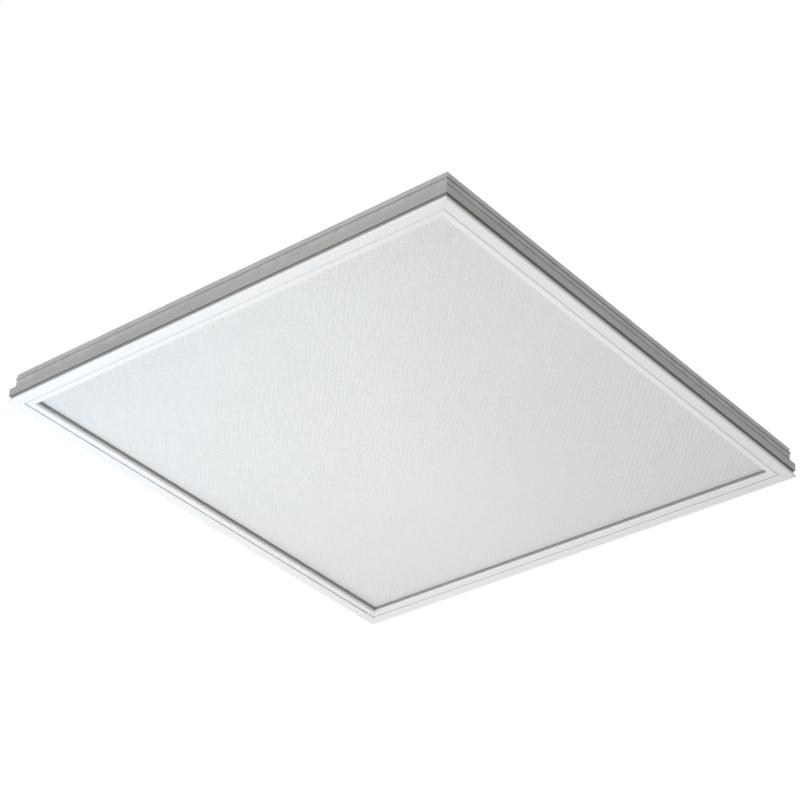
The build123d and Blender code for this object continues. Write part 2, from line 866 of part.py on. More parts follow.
def lever_rod(y, reach, radius):
    """A cylinder on the levers' pivot line, reach to each side of y."""
    return rod((lever_pivot_x, y - reach, lever_pivot_z), (lever_pivot_x, y + reach, lever_pivot_z), radius)


def terminal_lever(y):
    """A lever in its slot, with a trunnion in each cheek."""
    half = lever_width / 2
    x1 = lever_pivot_x + lever_length
    lever = block(lever_pivot_x, x1, y - half, y + half, block_top - lever_thick, block_top)
    lever += lever_rod(y, half, lever_thick / 2)
    return lever + lever_rod(y, half + lever_clearance + block_cheek / 3, lever_trunnion_radius)


def supply_wires():
    """The live and neutral wires between the block and the driver."""
    start = block_x + contact_length / 2 - wire_entry
    return [rod((start, y, port_z), (driver_x0, y, port_z), supply_wire_radius) for y in pole_rows[:2]]


def earth_wire():
    """From the block's third pole round to a lug under the earth screw."""
    y = pole_rows[2]
    turn_x = (block_x1 + driver_x0) / 2
    lug_x = earth_x + lug_length - supply_wire_radius
    points = (
        (block_x + contact_length / 2 - wire_entry, y, port_z),
        (turn_x, y, port_z),
        (turn_x, earth_y, port_z),
        (lug_x, earth_y, port_z),
        (lug_x, earth_y, box_floor),
    )
    wire = rod(points[0], points[1], supply_wire_radius)
    for start, end in zip(points[1:], points[2:]):
        wire += rod(start, end, supply_wire_radius) + Pos(*start) * Sphere(supply_wire_radius)
    half, lug_top = lug_radius / 2, box_floor + lug_thick
    lug = post(earth_x, earth_y, box_floor, lug_top, lug_radius)
    lug += block(earth_x, earth_x + lug_length, earth_y - half, earth_y + half, box_floor, lug_top)
    return wire + lug - hole(earth_x, earth_y, box_floor, lug_top, screw_radius + lug_clearance)


def earth_screw():
    """The screw that holds the earth wire's lug on the box's floor."""
    screw = pan_head_screw(box_sheet + lug_thick, screw_radius, screw_head_radius, screw_head_height)
    return Pos(earth_x, earth_y, box_floor + lug_thick) * screw


# ---- openings' fittings ----
def wire_grommet():
    """A rubber ring whose groove holds the edge of the pan and of the box's floor."""
    low, high = plate_under - grommet_under, box_floor + grommet_flange
    ring_body = post(output_wire_x, 0, low, high, grommet_groove_radius)
    ring_body += post(output_wire_x, 0, box_floor, high, grommet_radius)
    ring_body += post(output_wire_x, 0, low, plate_under, grommet_radius)
    return ring_body - hole(output_wire_x, 0, low, high, grommet_bore)


def inlet_bushing():
    """A bushing that snaps into the inlet hole; its bore takes the supply cable."""
    wall = -box_length / 2
    bush = rod((wall - bushing_flange, 0, inlet_z), (wall, 0, inlet_z), bushing_flange_radius)
    bush += rod((wall, 0, inlet_z), (wall + bushing_tail, 0, inlet_z), bushing_radius)
    return bush - bore(wall - bushing_flange, wall + bushing_tail, 0, inlet_z, bushing_bore)


def knockout_blank():
    """A dished disc in the second inlet hole."""
    wall = box_length / 2
    disc = rod((wall, 0, inlet_z), (wall + blank_dish, 0, inlet_z), bushing_flange_radius)
    return disc + rod((wall - box_sheet - blank_dish, 0, inlet_z), (wall, 0, inlet_z), bushing_radius)


# ---- grid clips and hangers ----
def grid_clip(sx, sy):
    """A flat tongue parked along the side, with a finger tab at its tip."""
    x, y = sx * grid_pivot_x, sy * grid_clip_y
    half = grid_clip_width / 2
    tip = y - sy * (grid_clip_length - half)
    clip = block(x - half, x + half, min(y, tip), max(y, tip), body_top, rivet_z)
    clip += post(x, y, body_top, rivet_z, half)
    tab_y = sorted((tip, tip + sy * grid_clip_thick))
    clip += block(x - half, x + half, tab_y[0], tab_y[1], body_top, rivet_z + grid_clip_finger)
    return clip - hole(x, y, body_top, rivet_z, rivet_radius + hinge_running_clearance)


def dome_rivets():
    """The rivets that hold the grid clips and the hangers on the pan."""
    clip_rivet = dome_rivet(grid_clip_thick + sheet)
    tab_rivet = dome_rivet(hanger_thick + sheet)
    pivots = [(sx * grid_pivot_x, sy * grid_clip_y) for sx, sy in grid_clip_places.values()]
    clips = [Pos(x, y, rivet_z) * clip_rivet for x, y in pivots]
    return clips + [Pos(x, y, body_top + hanger_thick) * tab_rivet for x, y in hanger_places]


def hanger_tab(x, y):
    """An angle with a hole for a safety wire."""
    half, foot = hanger_width / 2, hanger_foot / 2
    top = body_top + hanger_thick
    tab = block(-foot, foot, -half, half, body_top, top)
    tab += block(-foot, -foot + hanger_thick, -half, half, body_top, body_top + hanger_height)
    tab -= hole(0, 0, body_top, top, rivet_radius)
    z = body_top + hanger_height - 2 * hanger_hole_radius
    tab -= bore(-foot, -foot + hanger_thick, 0, z, hanger_hole_radius)
    return Pos(x, y, 0) * turned(tab, 0 if x > 0 else 180)


def build():
    rail, strip = front_rail(), trim_strip()
    for side, degrees in sides.items():
        save(f"lip_rail_{side}", turned(rail, degrees))
        save(f"trim_strip_{side}", turned(strip, degrees))
        save(f"door_rail_{side}", turned(door_rail(side), degrees))
    key, door_key = corner_key(), door_corner_key()
    save("lip_corner_keys", group(turned(key, degrees) for degrees in sides.values()))
    save("door_corner_keys", group(turned(door_key, degrees) for degrees in sides.values()))
    save("corner_key_screws", group(rail_screws()))
    save("housing_pan", housing_pan())
    save("pan_screws", group(pan_screws()))
    save("lens", lens())
    save("lens_gasket", lens_gasket())
    save("lens_clips", group(lens_clips()))
    save("hinge_brackets", group(hinge_bracket(x) for x in hinge_places))
    save("hinge_pins", group(hinge_pin(x) for x in hinge_places))
    save("bracket_screws", group(bracket_screws()))
    save("door_catches", group(door_catch(x) for x in catch_places))
    for number, y in enumerate(board_rows, 1):
        save(f"led_board_{number}", led_board(y))
    save("led_packages", group(led_packages()))
    dome = optic()
    save("led_optics", group(Pos(x, y, board_under) * dome for x, y in lamp_places))
    save("board_screws", group(board_screws()))
    save("board_connectors", group(board_connector(y) for y in board_rows))
    save("led_wire_positive", led_wire("positive"))
    save("led_wire_negative", led_wire("negative"))
    save("reflector_tray", reflector_tray())
    save("driver_box", driver_box())
    save("driver_box_cover", driver_box_cover())
    save("cover_hinge_pins", group(cover_hinge_pins()))
    save("box_screws", group(box_screws()))
    save("led_driver", led_driver())
    save("driver_screws", group(driver_screws()))
    save("terminal_block", terminal_block())
    save("terminal_contacts", group(terminal_contacts()))
    for name, y in zip(("live", "neutral", "earth"), pole_rows):
        save(f"terminal_lever_{name}", terminal_lever(y))
    save("supply_wires", group(supply_wires()))
    save("earth_wire", earth_wire())
    save("earth_screw", earth_screw())
    save("wire_grommet", wire_grommet())
    save("inlet_bushing", inlet_bushing())
    save("knockout_blank", knockout_blank())
    for name, (sx, sy) in grid_clip_places.items():
        save(name, grid_clip(sx, sy))
    save("hanger_tabs", group(hanger_tab(x, y) for x, y in hanger_places))
    save("dome_rivets", group(dome_rivets()))


build()
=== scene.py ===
"""The looks of a recessed troffer light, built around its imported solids. Metres; Z up into the ceiling."""

import json
import math

import bmesh
import bpy
from mathutils import Matrix, Vector


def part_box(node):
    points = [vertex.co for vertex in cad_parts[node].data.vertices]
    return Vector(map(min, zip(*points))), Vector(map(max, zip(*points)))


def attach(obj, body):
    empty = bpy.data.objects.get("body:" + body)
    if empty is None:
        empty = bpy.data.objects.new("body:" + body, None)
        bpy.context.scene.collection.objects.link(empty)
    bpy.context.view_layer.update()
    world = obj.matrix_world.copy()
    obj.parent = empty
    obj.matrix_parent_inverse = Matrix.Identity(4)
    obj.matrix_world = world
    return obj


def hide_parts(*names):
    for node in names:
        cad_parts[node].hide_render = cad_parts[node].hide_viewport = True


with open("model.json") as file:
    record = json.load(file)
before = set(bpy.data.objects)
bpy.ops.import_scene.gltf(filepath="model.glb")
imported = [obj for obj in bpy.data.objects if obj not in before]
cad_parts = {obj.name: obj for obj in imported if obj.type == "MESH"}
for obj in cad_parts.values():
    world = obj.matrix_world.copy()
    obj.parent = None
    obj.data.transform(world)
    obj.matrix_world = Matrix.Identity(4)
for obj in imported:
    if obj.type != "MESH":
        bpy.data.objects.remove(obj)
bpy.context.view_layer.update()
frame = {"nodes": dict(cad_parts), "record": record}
nodes = frame["nodes"]

MM = 0.001
IMAGE_SIDE = 800
SENSOR = 36.0


def add_to_scene(item):
    bpy.context.scene.collection.objects.link(item)


class Nodes:
    """Short ways to add and link nodes in one tree; a value may be a number, a colour or a socket."""

    def __init__(self, tree):
        self.tree = tree

    def add(self, kind, **values):
        node = self.tree.nodes.new(kind)
        for key, value in values.items():
            if key.startswith("in_"):
                node.inputs[key[3:].replace("_", " ")].default_value = value
            else:
                setattr(node, key, value)
        return node

    def link(self, source, target):
        self.tree.links.new(source, target)

    def math(self, operation, a, b=0.0, c=0.0):
        node = self.add("ShaderNodeMath", operation=operation)
        for socket, value in zip(node.inputs, (a, b, c)):
            if isinstance(value, (int, float)):
                socket.default_value = value
            else:
                self.link(value, socket)
        return node.outputs[0]

    def mix(self, factor, a, b):
        node = self.add("ShaderNodeMix", data_type="RGBA")
        for socket, value in ((node.inputs[0], factor), (node.inputs[6], a), (node.inputs[7], b)):
            if isinstance(value, (int, float, tuple)):
                socket.default_value = value
            else:
                self.link(value, socket)
        return node.outputs[2]


# ---- camera: a long lens from below, turned a little about its own line ----
CAMERA_PLACE = Vector((-1.6493, -1.4708, -1.3969))
CAMERA_AIM = Vector((-0.0623, -0.0457, 0.0))
CAMERA_ROLL = math.radians(3.781)
FOCAL_PIXELS = 2461.6
FARTHEST_SEEN = 50.0


def set_camera():
    data = bpy.data.cameras.new("studio_camera")
    data.sensor_width = SENSOR
    data.lens = FOCAL_PIXELS * SENSOR / IMAGE_SIDE
    data.clip_end = FARTHEST_SEEN
    camera = bpy.data.objects.new("studio_camera", data)
    turn = (CAMERA_AIM - CAMERA_PLACE).to_track_quat("-Z", "Y").to_matrix().to_4x4()
    camera.matrix_world = Matrix.Translation(CAMERA_PLACE) @ turn @ Matrix.Rotation(CAMERA_ROLL, 4, "Z")
    add_to_scene(camera)
    bpy.context.scene.camera = camera


# ---- stage and light ----
FLOOR_LEVEL = -2.9
FLOOR_HALF = 9.0
FLOOR_COLOUR = (0.86, 0.86, 0.86, 1)
AMBIENT = 0.34
SEEN_WHITE = 1.0

# name: place, aim, width, height, watts, colour
STUDIO_LIGHTS = {
    "under_key": ((-0.20, 0.20, -0.95), (-0.20, 0.20, 0), 0.6, 0.6, 5.7, (0.985, 0.99, 1.0)),
    "cool_left": ((-0.60, 0.46, -0.36), (-0.26, 0.22, 0), 0.3, 0.3, 0.62, (0.22, 0.60, 1.0)),
    "left_wall_light": ((-2.6, 0.4, -0.12), (0, 0, 0), 1.2, 0.8, 24.0, (1.0, 0.985, 0.97)),
    "far_card": ((2.9, 2.6, -1.5), (0, 0, 0), 3.2, 0.9, 11.5, (1.0, 0.995, 0.98)),
    "top_soft": ((-0.8, -1.2, 2.6), (0, 0, 0), 2.4, 2.4, 40.0, (1.0, 1.0, 1.0)),
}


def set_world():
    """White where the camera, a reflection or clear plastic sees it; a plain grey light elsewhere."""
    world = bpy.data.worlds.new("studio_world")
    bpy.context.scene.world = world
    world.use_nodes = True
    world.node_tree.nodes.clear()
    n = Nodes(world.node_tree)
    path = n.add("ShaderNodeLightPath")
    seen = n.math("MAXIMUM", path.outputs["Is Camera Ray"], path.outputs["Is Glossy Ray"])
    seen = n.math("MAXIMUM", seen, path.outputs["Is Transmission Ray"])
    level = n.add("ShaderNodeMapRange", in_To_Min=AMBIENT, in_To_Max=SEEN_WHITE)
    n.link(seen, level.inputs["Value"])
    background = n.add("ShaderNodeBackground", in_Color=(1, 1, 1, 1))
    n.link(level.outputs[0], background.inputs["Strength"])
    n.link(background.outputs[0], n.add("ShaderNodeOutputWorld").inputs["Surface"])


def set_lights():
    """Area lights, each turned to its aim and not seen by the camera."""
    for name, (place, aim, width, height, watts, colour) in STUDIO_LIGHTS.items():
        data = bpy.data.lights.new(name, "AREA")
        data.shape = "RECTANGLE"
        data.size, data.size_y = width, height
        data.energy = watts
        data.color = colour
        light = bpy.data.objects.new(name, data)
        light.location = place
        light.visible_camera = False
        light.rotation_euler = (Vector(aim) - Vector(place)).to_track_quat("-Z", "Y").to_euler()
        add_to_scene(light)


# ---- mesh helpers ----
def new_piece(name, data, materials, body, slot, node):
    """A piece of one finish that rides on a body and stands for one of its nodes."""
    data.materials.append(materials[slot])
    piece = bpy.data.objects.new(name, data)
    add_to_scene(piece)
    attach(piece, body)
    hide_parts(node)


def mesh_from(name, points, faces, crease=None):
    """A mesh with its normals outward; with a crease angle in degrees it is smooth below that angle."""
    data = bpy.data.meshes.new(name)
    data.from_pydata(points, [], faces)
    shape = bmesh.new()
    shape.from_mesh(data)
    bmesh.ops.recalc_face_normals(shape, faces=shape.faces)
    shape.to_mesh(data)
    shape.free()
    if crease is not None:
        data.polygons.foreach_set("use_smooth", [True] * len(data.polygons))
        data.set_sharp_from_angle(angle=math.radians(crease))
    return data


SQUARE = ((-1, -1), (1, -1), (1, 1), (-1, 1))


def square_ring(profile):
    """Points and faces of four mitred bars, from (distance from the middle, height) in millimetres."""
    points, faces = [], []
    for out, z in profile:
        points += [(x * out * MM, y * out * MM, z * MM) for x, y in SQUARE]
    total = len(profile)
    for k in range(total):
        here, there = 4 * k, 4 * ((k + 1) % total)
        for side in range(4):
            following = (side + 1) % 4
            faces.append((here + side, here + following, there + following, there + side))
    return points, faces


def stacked_squares(rings):
    """Points and faces of a closed bar that runs through rings of four points each."""
    points, faces = [], []
    for ring in rings:
        points += ring
    for k in range(len(rings) - 1):
        here, there = 4 * k, 4 * k + 4
        for side in range(4):
            following = (side + 1) % 4
            faces.append((here + side, here + following, there + following, there + side))
    last = 4 * (len(rings) - 1)
    faces += [(3, 2, 1, 0), tuple(last + side for side in range(4))]
    return points, faces


def lathe(profile, middle, along_x=False, steps=48):
    """Points and faces of a ring turned from (radius, place on its axis) pairs, in millimetres."""
    points, faces = [], []
    total = len(profile)
    for step in range(steps):
        angle = 2 * math.pi * step / steps
        c, s = math.cos(angle), math.sin(angle)
        for radius, place in profile:
            across = (radius * c, radius * s)
            spot = (place, *across) if along_x else (*across, place)
            points.append(tuple((m + v) * MM for m, v in zip(middle, spot)))
        here, there = step * total, (step + 1) % steps * total
        for k in range(total):
            following = (k + 1) % total
            faces.append((here + k, here + following, there + following, there + k))
    return points, faces


def joined(parts):
    """Several (points, faces) lists as one."""
    points, faces = [], []
    for more_points, more_faces in parts:
        start = len(points)
        points += more_points
        faces += [tuple(start + k for k in face) for face in more_faces]
    return points, faces


def floor():
    h = FLOOR_HALF
    corners = [(-h, -h, FLOOR_LEVEL), (h, -h, FLOOR_LEVEL), (h, h, FLOOR_LEVEL), (-h, h, FLOOR_LEVEL)]
    piece = bpy.data.objects.new("floor", mesh_from("floor", corners, [(0, 1, 2, 3)]))
    add_to_scene(piece)
    piece.data.materials.append(floor_material())


# ---- shader node groups ----
def shader_group(name, inputs, outputs):
    """An empty node group with named sockets: (name, kind, default) in, (name, kind) out."""
    tree = bpy.data.node_groups.new(name, "ShaderNodeTree")
    for label, kind, value in inputs:
        socket = tree.interface.new_socket(label, in_out="INPUT", socket_type="NodeSocket" + kind)
        socket.default_value = value
    for label, kind in outputs:
        tree.interface.new_socket(label, in_out="OUTPUT", socket_type="NodeSocket" + kind)
    n = Nodes(tree)
    return tree, n, n.add("NodeGroupInput"), n.add("NodeGroupOutput")


def cloudy_tone_group():
    """Slow, soft changes of tone over a surface, and a mask of them."""
    tree, n, given, result = shader_group(
        "cloudy_tone",
        [("Color", "Color", (0.8, 0.8, 0.8, 1)), ("Other Color", "Color", (0.7, 0.7, 0.7, 1)),
         ("Scale", "Float", 6.0), ("Amount", "Float", 0.5)],
        [("Color", "Color"), ("Mask", "Float")],
    )
    place = n.add("ShaderNodeTexCoord")
    noise = n.add("ShaderNodeTexNoise", in_Detail=2.0, in_Roughness=0.5)
    n.link(place.outputs["Object"], noise.inputs["Vector"])
    n.link(given.outputs["Scale"], noise.inputs["Scale"])
    spread = n.add("ShaderNodeMapRange", interpolation_type="SMOOTHSTEP", in_From_Min=0.25, in_From_Max=0.75)
    n.link(noise.outputs["Fac"], spread.inputs["Value"])
    mask = spread.outputs["Result"]
    share = n.math("MULTIPLY", mask, given.outputs["Amount"])
    n.link(n.mix(share, given.outputs["Color"], given.outputs["Other Color"]), result.inputs["Color"])
    n.link(mask, result.inputs["Mask"])
    return tree


def paint_peel_group():
    """The fine orange peel of a powder coat, as a height."""
    tree, n, given, result = shader_group(
        "paint_peel",
        [("Grain", "Float", 900.0), ("Wave", "Float", 120.0)],
        [("Height", "Float")],
    )
    place = n.add("ShaderNodeTexCoord")
    fine = n.add("ShaderNodeTexNoise", in_Detail=2.0)
    slow = n.add("ShaderNodeTexNoise", in_Detail=1.0)
    n.link(place.outputs["Object"], fine.inputs["Vector"])
    n.link(place.outputs["Object"], slow.inputs["Vector"])
    n.link(given.outputs["Grain"], fine.inputs["Scale"])
    n.link(given.outputs["Wave"], slow.inputs["Scale"])
    n.link(n.math("ADD", fine.outputs["Fac"], slow.outputs["Fac"]), result.inputs["Height"])
    return tree


def rolled_grain_group():
    """Fine lines along X, as the rolls leave them on sheet and drawn metal: a height and a mask."""
    tree, n, given, result = shader_group(
        "rolled_grain",
        [("Along", "Float", 4.0), ("Across", "Float", 700.0)],
        [("Height", "Float"), ("Mask", "Float")],
    )
    place = n.add("ShaderNodeTexCoord")
    axes = n.add("ShaderNodeSeparateXYZ")
    n.link(place.outputs["Object"], axes.inputs[0])
    stretched = n.add("ShaderNodeCombineXYZ")
    for axis, density in (("X", "Along"), ("Y", "Across"), ("Z", "Across")):
        n.link(n.math("MULTIPLY", axes.outputs[axis], given.outputs[density]), stretched.inputs[axis])
    lines = n.add("ShaderNodeTexNoise", in_Scale=1.0, in_Detail=3.0, in_Roughness=0.6)
    n.link(stretched.outputs[0], lines.inputs["Vector"])
    n.link(lines.outputs["Fac"], result.inputs["Height"])
    spread = n.add("ShaderNodeMapRange", in_From_Min=0.3, in_From_Max=0.7)
    n.link(lines.outputs["Fac"], spread.inputs["Value"])
    n.link(spread.outputs["Result"], result.inputs["Mask"])
    return tree


CRYSTAL_WOBBLE = 10 * MM
DIAGONAL = (0.58, 0.58, 0.58)
NEEDLE_SCALE = (90.0, 700.0, 700.0)


def zinc_spangle_group():
    """The frosted crystals of hot-dip zinc: a tone that feathers across each crystal, and its height."""
    tree, n, given, result = shader_group(
        "zinc_spangle",
        [("Scale", "Float", 90.0), ("Feather", "Float", 0.45)],
        [("Tone", "Float"), ("Height", "Float")],
    )
    place = n.add("ShaderNodeTexCoord")
    bend = n.add("ShaderNodeTexNoise", in_Scale=60.0, in_Detail=3.0)
    n.link(place.outputs["Object"], bend.inputs["Vector"])
    pushed = n.add("ShaderNodeVectorMath", operation="MULTIPLY_ADD")
    n.link(bend.outputs["Color"], pushed.inputs[0])
    pushed.inputs[1].default_value = (CRYSTAL_WOBBLE,) * 3
    n.link(place.outputs["Object"], pushed.inputs[2])
    cells = n.add("ShaderNodeTexVoronoi", feature="F1")
    n.link(pushed.outputs[0], cells.inputs["Vector"])
    n.link(given.outputs["Scale"], cells.inputs["Scale"])
    chance = n.add("ShaderNodeSeparateColor")
    n.link(cells.outputs["Color"], chance.inputs[0])
    turned_place = n.add("ShaderNodeVectorRotate", rotation_type="AXIS_ANGLE")
    turned_place.inputs["Axis"].default_value = DIAGONAL
    n.link(place.outputs["Object"], turned_place.inputs["Vector"])
    n.link(n.math("MULTIPLY", chance.outputs[1], 2 * math.pi), turned_place.inputs["Angle"])
    needles = n.add("ShaderNodeMapping")
    needles.inputs["Scale"].default_value = NEEDLE_SCALE
    n.link(turned_place.outputs["Vector"], needles.inputs["Vector"])
    feathers = n.add("ShaderNodeTexNoise", in_Scale=1.0, in_Detail=3.0, in_Roughness=0.6)
    n.link(needles.outputs["Vector"], feathers.inputs["Vector"])
    feather = n.math("MULTIPLY", feathers.outputs["Fac"], given.outputs["Feather"])
    slow = n.add("ShaderNodeTexNoise", in_Scale=4.0, in_Detail=2.0)
    n.link(place.outputs["Object"], slow.inputs["Vector"])
    drift = n.math("MULTIPLY_ADD", chance.outputs[0], 0.4, feather)
    n.link(n.math("MULTIPLY_ADD", slow.outputs["Fac"], 0.3, drift), result.inputs["Tone"])
    height = n.math("MULTIPLY_ADD", cells.outputs["Distance"], -0.5, feathers.outputs["Fac"])
    n.link(height, result.inputs["Height"])
    return tree


def crevice_dust_and_shade_group():
    """A mask of painted shade in corners, with some soiling: higher the more the surroundings close in."""
    tree, n, given, result = shader_group(
        "crevice_dust_and_shade",
        [("Reach", "Float", 0.006), ("Amount", "Float", 0.4)],
        [("Mask", "Float")],
    )
    corner = n.add("ShaderNodeAmbientOcclusion", samples=4)
    n.link(given.outputs["Reach"], corner.inputs["Distance"])
    place = n.add("ShaderNodeTexCoord")
    noise = n.add("ShaderNodeTexNoise", in_Scale=180.0, in_Detail=5.0)
    n.link(place.outputs["Object"], noise.inputs["Vector"])
    # Painted shade: one minus ambient occlusion, broken up by noise, darkens closed-in places.
    closed = n.math("SUBTRACT", 1.0, corner.outputs["AO"])
    rough = n.math("MULTIPLY", closed, noise.outputs["Fac"])
    n.link(n.math("MULTIPLY", rough, given.outputs["Amount"]), result.inputs["Mask"])
    return tree


def edge_rub_group():
    """A mask of edges that handling has rubbed brighter."""
    tree, n, given, result = shader_group(
        "edge_rub",
        [("Radius", "Float", 0.0007), ("Amount", "Float", 0.6)],
        [("Mask", "Float")],
    )
    rounded = n.add("ShaderNodeBevel", samples=4)
    n.link(given.outputs["Radius"], rounded.inputs["Radius"])
    flat = n.add("ShaderNodeNewGeometry")
    turn = n.add("ShaderNodeVectorMath", operation="DOT_PRODUCT")
    n.link(rounded.outputs["Normal"], turn.inputs[0])
    n.link(flat.outputs["Normal"], turn.inputs[1])
    edge = n.add("ShaderNodeMapRange", in_From_Min=0.995, in_From_Max=0.75)
    n.link(turn.outputs["Value"], edge.inputs["Value"])
    place = n.add("ShaderNodeTexCoord")
    noise = n.add("ShaderNodeTexNoise", in_Scale=90.0, in_Detail=4.0)
    n.link(place.outputs["Object"], noise.inputs["Vector"])
    patchy = n.math("MULTIPLY", edge.outputs["Result"], noise.outputs["Fac"])
    n.link(n.math("MULTIPLY", patchy, given.outputs["Amount"]), result.inputs["Mask"])
    return tree


# How deep the painted shade above the lip lies on the front wall and on the others, and how far its upper
# edge wanders.
FRONT_SHADE, SIDE_SHADE = 0.85, 0.1
SHADE_WAVE = 3 * MM


def painted_foot_shade_group():
    """A mask of painted shade: a band along the foot of an upright wall, just above the lip that shades it,
    deeper on the front wall, which lies in more shade.
    """
    tree, n, given, result = shader_group(
        "painted_foot_shade",
        [("Low", "Float", 0.0225), ("High", "Float", 0.0265), ("Amount", "Float", 0.9)],
        [("Mask", "Float")],
    )
    place = n.add("ShaderNodeTexCoord")
    axes = n.add("ShaderNodeSeparateXYZ")
    n.link(place.outputs["Object"], axes.inputs[0])
    flat = n.add("ShaderNodeNewGeometry")
    facing = n.add("ShaderNodeSeparateXYZ")
    n.link(flat.outputs["Normal"], facing.inputs[0])
    front = n.math("MAXIMUM", n.math("MULTIPLY", facing.outputs["Y"], -1.0), 0.0)
    upright = n.math("SUBTRACT", 1.0, n.math("ABSOLUTE", facing.outputs["Z"]))
    depth = n.math("MULTIPLY", upright, n.math("MULTIPLY_ADD", front, FRONT_SHADE, SIDE_SHADE))
    noise = n.add("ShaderNodeTexNoise", in_Scale=14.0, in_Detail=3.0)
    n.link(place.outputs["Object"], noise.inputs["Vector"])
    wavy = n.math("MULTIPLY_ADD", noise.outputs["Fac"], SHADE_WAVE, axes.outputs["Z"])
    fade = n.add("ShaderNodeMapRange", interpolation_type="SMOOTHSTEP", in_To_Min=1.0, in_To_Max=0.0)
    n.link(wavy, fade.inputs["Value"])
    n.link(given.outputs["Low"], fade.inputs["From Min"])
    n.link(given.outputs["High"], fade.inputs["From Max"])
    band = n.math("MULTIPLY", fade.outputs["Result"], depth)
    n.link(n.math("MULTIPLY", band, given.outputs["Amount"]), result.inputs["Mask"])
    return tree


# ---- materials: most take a colour, a second colour that it drifts to, and a roughness ----
GROUPS = {}
# Tones that corners and the foot band are darkened to, as painted shade; in corners with some soiling too.
PALE_DUST_AND_SHADE = (0.42, 0.40, 0.37, 1)
ZINC_GRIME_AND_SHADE = (0.13, 0.12, 0.105, 1)
FOOT_SHADE_DARK = (0.09, 0.087, 0.082, 1)
METAL_GRIME_AND_SHADE = (0.10, 0.09, 0.08, 1)
TRACK_GAP = (0.72, 0.71, 0.66, 1)
TRACK_LENGTH, TRACK_WIDTH, TRACK_SPACE = 66 * MM, 6.5 * MM, 0.8 * MM
RUBBED = 1.5
LINE_SHADE = 0.6
PEEL_HEIGHT = 0.04 * MM
CRYSTAL_HEIGHT = 0.05 * MM
GRAIN_HEIGHT = 0.03 * MM
ACRYLIC_IOR = 1.49


def new_material(name):
    """A material with its Principled shader: the node helper and the shader."""
    material = bpy.data.materials.new(name)
    material.use_nodes = True
    n = Nodes(material.node_tree)
    return material, n, material.node_tree.nodes["Principled BSDF"]


def scaled(colour, factor):
    """A colour made darker or lighter by a factor."""
    return tuple(min(1.0, c * factor) for c in colour[:3]) + (1,)


def use_group(n, name, **values):
    node = n.add("ShaderNodeGroup", node_tree=GROUPS[name])
    for key, value in values.items():
        node.inputs[key.replace("_", " ")].default_value = value
    return node


def bump(n, shader, height, distance, strength):
    node = n.add("ShaderNodeBump", in_Strength=strength, in_Distance=distance)
    n.link(height, node.inputs["Height"])
    n.link(node.outputs["Normal"], shader.inputs["Normal"])


def vary_roughness(n, shader, mask, low, spread):
    """Roughness that goes from low to low + spread with a mask."""
    level = n.add("ShaderNodeMapRange", in_To_Min=low, in_To_Max=low + spread)
    n.link(mask, level.inputs["Value"])
    n.link(level.outputs[0], shader.inputs["Roughness"])


def floor_material():
    material, _, shader = new_material("pale_floor")
    shader.inputs["Base Color"].default_value = FLOOR_COLOUR
    shader.inputs["Roughness"].default_value = 0.8
    return material


def painted(name, colour, other, roughness, dust_and_shade):
    """Powder-coated steel: a fine peel, a slow change of tone, and corners and seams darkened a little by
    painted shade with a dusty tone.
    """
    material, n, shader = new_material(name)
    tone = use_group(n, "cloudy_tone", Color=colour, Other_Color=other, Scale=5.0, Amount=0.7)
    peel = use_group(n, "paint_peel")
    grime_and_shade = use_group(n, "crevice_dust_and_shade", Amount=dust_and_shade)
    # Painted shade: closed-in corners and seams go towards a pale grey, with a dusty tone.
    n.link(n.mix(grime_and_shade.outputs["Mask"], tone.outputs["Color"], PALE_DUST_AND_SHADE), shader.inputs["Base Color"])
    vary_roughness(n, shader, tone.outputs["Mask"], roughness, spread=0.08)
    bump(n, shader, peel.outputs["Height"], PEEL_HEIGHT, strength=0.5)
    return material


def zinc_sheet(name, colour, other, roughness, spangle, metallic, foot_shaded=False):
    """Zinc-coated sheet: crystals in two tones, rolled grain, corners darkened by painted shade with some
    soiling, an optional band of painted shade along the foot of its walls, and rubbed edges.
    """
    material, n, shader = new_material(name)
    crystals = use_group(n, "zinc_spangle", Scale=spangle)
    grain = use_group(n, "rolled_grain", Across=500.0)
    # Wide and strong: painted shade on the wall just above the lip step and in every corner, with some
    # soiling.
    grime_and_shade = use_group(n, "crevice_dust_and_shade", Amount=1.4, Reach=0.014)
    rub = use_group(n, "edge_rub")
    metal = n.mix(crystals.outputs["Tone"], colour, other)
    metal = n.mix(rub.outputs["Mask"], metal, scaled(colour, RUBBED))
    metal = n.mix(grime_and_shade.outputs["Mask"], metal, ZINC_GRIME_AND_SHADE)
    if foot_shaded:
        # Painted shade in a band just above the lip.
        foot_shade = use_group(n, "painted_foot_shade")
        metal = n.mix(foot_shade.outputs["Mask"], metal, FOOT_SHADE_DARK)
    n.link(metal, shader.inputs["Base Color"])
    vary_roughness(n, shader, crystals.outputs["Tone"], roughness, spread=0.22)
    shader.inputs["Metallic"].default_value = metallic
    height = n.math("MULTIPLY_ADD", grain.outputs["Height"], 0.5, crystals.outputs["Height"])
    bump(n, shader, height, CRYSTAL_HEIGHT, strength=0.6)
    return material


